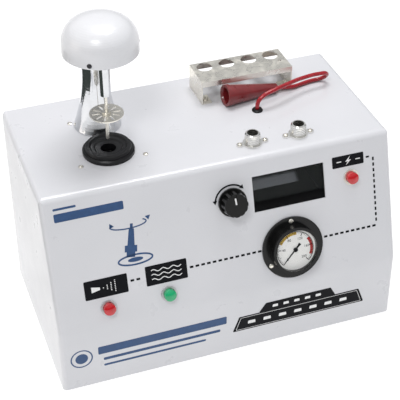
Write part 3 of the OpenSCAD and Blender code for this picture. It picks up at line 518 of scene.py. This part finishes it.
def arrowhead(batch, tip, ahead, size, place, low=0.0, high=0.12):
    """Triangle at `tip` pointing along `ahead`."""
    ahead = np.asarray(ahead, float) / np.linalg.norm(ahead)
    across = np.array([-ahead[1], ahead[0]]) * size * 0.55
    base = np.asarray(tip, float) - ahead * size
    batch.plate([tip, base + across, base - across], place, low, high)


for u0, v0, u1, v1 in ((-174, 105, -123.5, 128), (-101.8, 103, -52.4, 127.3),
                       (135.5, 20, 175.5, 34)):
    black.plate(bar(u0, v0, u1, v1), flat_panel, 0.0, 0.2)

# icons on the tags: a nozzle that throws grit, three waves of air, a spark
white.plate([[-166, -120], [-166, -113], [-156, -115], [-156, -118]], flat_panel, 0.1, 0.3)
for k in range(4):
    for j in range(-k, k + 1):
        white.disc(-152 + 4.6 * k, -116.5 + 2.2 * j, 0.7, flat_panel, 0.1, 0.3, 8)
for k in range(3):
    u = np.linspace(-95, -59, 40)
    white.ribbon(np.stack([u, -109.5 - 5.6 * k + 1.3 * np.sin(u / 1.9)], 1), 1.0, flat_panel,
                 0.1, 0.3)
white.plate([[158.5, -21.5], [152, -28], [155.4, -28], [152.5, -32.5], [159.5, -26.2],
             [156, -26.2]], flat_panel, 0.1, 0.3)
for u in (141, 165):
    white.plate(bar(u, 26.4, u + 6, 27.6, 0.3), flat_panel, 0.1, 0.3)

# dashes that join the tags, the gauge and the tester's tag
DASH, DASH_STEP = 4.4, 7.0
for a, b in ((-120, -104), (-49, 43), (119, 186)):
    for u in np.arange(a, b - 3, DASH_STEP):
        black.plate(bar(u, 114.2, u + DASH, 116.8, 0.3), flat_panel, 0, 0.12)
for v in np.arange(29, 111, DASH_STEP):
    black.plate(bar(186.4, v, 188.6, v + 4.2, 0.3), flat_panel, 0, 0.12)
black.plate(bar(178.5, 26.4, 182.7, 28.6, 0.3), flat_panel, 0, 0.12)

# knob's scale: a bold arc with an arrowhead at each end
ARC_R, ARC_FROM, ARC_TO = 20, 168, 52
black.ribbon(arc(KNOB_U, -KNOB_V, ARC_R, ARC_FROM, ARC_TO), 2.0, flat_panel, 0, 0.12)
for end, turn in ((ARC_FROM, 1), (ARC_TO, -1)):
    t = math.radians(end + turn * 13)
    tip = [KNOB_U + ARC_R * math.cos(t), -KNOB_V + ARC_R * math.sin(t)]
    arrowhead(black, tip, [-turn * math.sin(t), turn * math.cos(t)], 5.0, flat_panel)

# lower front: two stacked black bands with slanted ends, an inner line and plain icons
black.plate(round_corners([[0, -60], [172, -60], [164, -38.4], [8, -38.4]], 1.0), front, 0, 0.2)
black.plate(round_corners([[33, -38.5], [133, -38.5], [126, -25.6], [42, -25.6]], 1.0), front,
            0, 0.2)
white.ribbon(round_corners([[4, -58.2], [168.2, -58.2], [161.8, -40.4], [10.2, -40.4]], 1.0),
             0.5, front, 0.1, 0.3, closed=True)
for k, u in enumerate((24, 44, 64, 84, 104, 124, 144)):
    white.plate(round_corners([[u - 5, -51.6], [u + 5, -51.6], [u + 4.4, -47], [u - 4.4, -47]],
                              0.8), front, 0.1, 0.3)
for u in (54, 68, 82, 96, 110):
    white.plate(round_corners([[u - 3.6, -34.2], [u + 3.6, -34.2], [u + 3.2, -30.4],
                               [u - 3.2, -30.4]], 0.6), front, 0.1, 0.3)

# blue picture of a plug tilted to and fro over the port
blue.ribbon(arc(-114.5, -47.5, 21, 150, 395, 48, 0.24), 1.5, flat_panel, 0, 0.12)
arrowhead(blue, [-135.5, -42.5], [-0.35, 1], 5.5, flat_panel)
arrowhead(blue, [-94.5, -42.0], [-1, 0.45], 5.5, flat_panel)
lean = np.array([[0.991, -0.135], [0.135, 0.991]])
for part in ([[-1.6, 30], [1.6, 30], [1.6, 36], [-1.6, 36]],
             [[-4.2, 10], [4.2, 10], [3, 30], [-3, 30]],
             [[-7.2, 2], [7.2, 2], [7.2, 10], [-7.2, 10]],
             [[-5, -4.2], [5, -4.2], [5, 2], [-5, 2]]):
    blue.plate(np.array(part) @ lean + [-115.5, -83], flat_panel, 0, 0.12)
blue.ribbon(arc(-111, -91, 20, 0, 352.5, 48, 0.3), 2.0, flat_panel, 0, 0.12, closed=True)
blue.plate(arc(-111, -91, 9, 0, 352.5, 32, 0.3), flat_panel, 0, 0.12)

# maker's place and model's place: a plain roundel and plain stripes
blue.plate(arc(-186, -44, 7.5, 0, 352, 32), front, 0, 0.12)
blue.ribbon(arc(-186, -44, 12.5, 0, 352.5, 48), 1.6, front, 0, 0.12, closed=True)
for u0, v0, u1, v1 in ((-166, 32, -8, 43.5), (-160, 50, -16, 54), (-160, 60, -34, 63)):
    blue.plate(bar(u0, v0, u1, v1, 1.4), front, 0, 0.12)
blue.plate(bar(-196, 18.5, -117, 28.5, 1.4), flat_panel, 0, 0.12)
blue.plate(bar(-196, 12, -170, 14.6, 1.0), flat_panel, 0, 0.12)

# ---------------------------------------------------------------- gauge dial
GAUGE_U, GAUGE_V = 78.0, 119.5
SCALE_R = 22.4                  # outer ends of the ticks
SCALE_START, SCALE_SWEEP, TICKS = 225, 270, 50
dial = out_of("gauge_dial")


def dial_sector(batch, r0, r1, a, b, low=0.0, high=0.08):
    """Band of the dial between two radii, from a to b degrees."""
    batch.ribbon(arc(GAUGE_U, -GAUGE_V, (r0 + r1) / 2, a, b), r1 - r0, flat_panel,
                 dial + low, dial + high)


dial_sector(marks, SCALE_R, SCALE_R + 0.7, SCALE_START, SCALE_START - SCALE_SWEEP)
dial_sector(gold, 18.8, 22.2, 150, 82)
dial_sector(red, 18.8, 22.2, 36, -26)
for k in range(TICKS + 1):
    t = math.radians(SCALE_START - SCALE_SWEEP * k / TICKS)
    length = 4.6 if k % 10 == 0 else 3.4 if k % 5 == 0 else 1.8
    d = np.array([math.cos(t), math.sin(t)])
    c = np.array([GAUGE_U, -GAUGE_V])
    marks.ribbon([c + d * (SCALE_R - length), c + d * SCALE_R], 0.9 if k % 10 == 0 else 0.4,
                 flat_panel, dial, dial + 0.12)


def numeral(text, u, v, size):
    """Raised numeral laid on the dial: a text curve made a mesh and moved to its place."""
    curve = bpy.data.curves.new("numeral", "FONT")
    curve.body, curve.size, curve.extrude = text, size, 0.05
    curve.align_x, curve.align_y = "CENTER", "CENTER"
    curve.resolution_u = 4
    holder = bpy.data.objects.new("numeral", curve)
    bpy.context.scene.collection.objects.link(holder)
    bpy.context.view_layer.update()
    mesh = bpy.data.meshes.new_from_object(
        holder.evaluated_get(bpy.context.evaluated_depsgraph_get()))
    co = np.empty(len(mesh.vertices) * 3)
    mesh.vertices.foreach_get("co", co)
    co = co.reshape(-1, 3)
    marks.put(flat_panel(co[:, 0] + u, co[:, 1] + v, co[:, 2] + dial + 0.05),
              [list(f.vertices) for f in mesh.polygons])
    bpy.data.objects.remove(holder)
    bpy.data.curves.remove(curve)
    bpy.data.meshes.remove(mesh)


for k, text in enumerate(("0", "40", "80", "120", "160", "200")):
    t = math.radians(SCALE_START - 54 * k)
    numeral(text, GAUGE_U + 14.6 * math.cos(t), -GAUGE_V + 14.6 * math.sin(t), 4.4)

black.done("printed_black", print_black, slot="needle_black", smooth=False)
white.done("printed_white", print_white, slot="dial_white", smooth=False)
blue.done("printed_blue", print_blue, slot="needle_black", smooth=False)
marks.done("dial_marks", print_black, slot="needle_black", smooth=False)
gold.done("dial_gold", print_gold, slot="brass", smooth=False)
red.done("dial_red", print_red, slot="button_red", smooth=False)

# knob's pointer line
pointer = Batch()
top = out_of("pressure_knob")
t = math.radians(96)
d, c = np.array([math.cos(t), math.sin(t)]), np.array([KNOB_U, -KNOB_V])
pointer.ribbon([c + d * 1.5, c + d * 9.5], 1.8, flat_panel, top - 0.1, top + 0.15)
pointer.done("knob_pointer", print_white, body="knob", slot="dial_white", smooth=False)

bpy.context.scene.view_settings.view_transform = "Standard"


# ---------------------------------------------------------------- floor and light
def stage_floor():
    """A wide pale floor under the bench feet."""
    s = 6.0
    mesh = bpy.data.meshes.new("floor")
    mesh.from_pydata([(-s, -s, 0), (s, -s, 0), (s, s, 0), (-s, s, 0)], [], [(0, 1, 2, 3)])
    floor = bpy.data.objects.new("floor", mesh)
    bpy.context.scene.collection.objects.link(floor)
    f = Finish("floor_white", (0.35, 0.35, 0.35, 1), rough=0.9, Emission_Color=(1, 1, 1, 1),
               Emission_Strength=0.80)
    mesh.materials.append(f.mat)


def soft_light(name, place, target, size, power, colour=(1, 1, 1)):
    """Rectangular soft light that faces a point."""
    data = bpy.data.lights.new(name, "AREA")
    data.shape, data.size, data.size_y = "RECTANGLE", size[0], size[1]
    data.energy, data.color = power, colour
    lamp = bpy.data.objects.new(name, data)
    bpy.context.scene.collection.objects.link(lamp)
    back = np.array(place, float) - np.array(target, float)
    back /= np.linalg.norm(back)
    side = np.cross([0, 0, 1.0], back)
    side /= np.linalg.norm(side)
    m = np.eye(4)
    m[:3, 0], m[:3, 1], m[:3, 2], m[:3, 3] = side, np.cross(back, side), back, place
    lamp.matrix_world = Matrix(m.tolist())


def dark_card():
    """A dark card on the floor at the left, seen only in the chrome."""
    mesh = bpy.data.meshes.new("dark_card")
    mesh.from_pydata([(-0.85, -0.35, 0.002), (-0.40, -0.35, 0.002), (-0.40, 0.6, 0.002),
                      (-0.85, 0.6, 0.002)], [], [(0, 1, 2, 3)])
    card = bpy.data.objects.new("dark_card", mesh)
    bpy.context.scene.collection.objects.link(card)
    mesh.materials.append(Finish("card_dark", (0.015, 0.025, 0.02, 1), rough=0.8).mat)
    card.visible_camera = False


stage_floor()
world = bpy.data.worlds.new("studio")
world.use_nodes = True
tree = world.node_tree
height = tree.nodes.new("ShaderNodeSeparateXYZ")
tree.links.new(tree.nodes.new("ShaderNodeTexCoord").outputs["Generated"], height.inputs[0])
shade = tree.nodes.new("ShaderNodeValToRGB")
shade.color_ramp.elements[0].position, shade.color_ramp.elements[0].color = 0.5, (1, 1, 1, 1)
shade.color_ramp.elements[1].position, shade.color_ramp.elements[1].color = 1.0, (1, 1, 1, 1)
for place, c in ((0.54, (0.10, 0.11, 0.12, 1)), (0.62, (0.07, 0.09, 0.08, 1)),
                 (0.70, (0.85, 0.87, 0.90, 1))):
    shade.color_ramp.elements.new(place).color = c
half = tree.nodes.new("ShaderNodeMapRange")
half.inputs["From Min"].default_value = -1.0
tree.links.new(height.outputs["Z"], half.inputs["Value"])
tree.links.new(half.outputs["Result"], shade.inputs["Fac"])
tree.links.new(shade.outputs["Color"], tree.nodes["Background"].inputs["Color"])
tree.nodes["Background"].inputs["Strength"].default_value = 0.62
bpy.context.scene.world = world
soft_light("key", (-0.9, -1.2, 2.2), (0, 0, 0.2), (0.6, 0.6), 17)
soft_light("overhead", (0.25, 0.45, 2.3), (0, 0, 0.2), (1.0, 0.8), 25)
soft_light("warm_side", (-2.2, 0.1, 0.7), (-0.2, 0, 0.12), (1.2, 1.0), 7, (1.0, 0.92, 0.84))
dark_card()
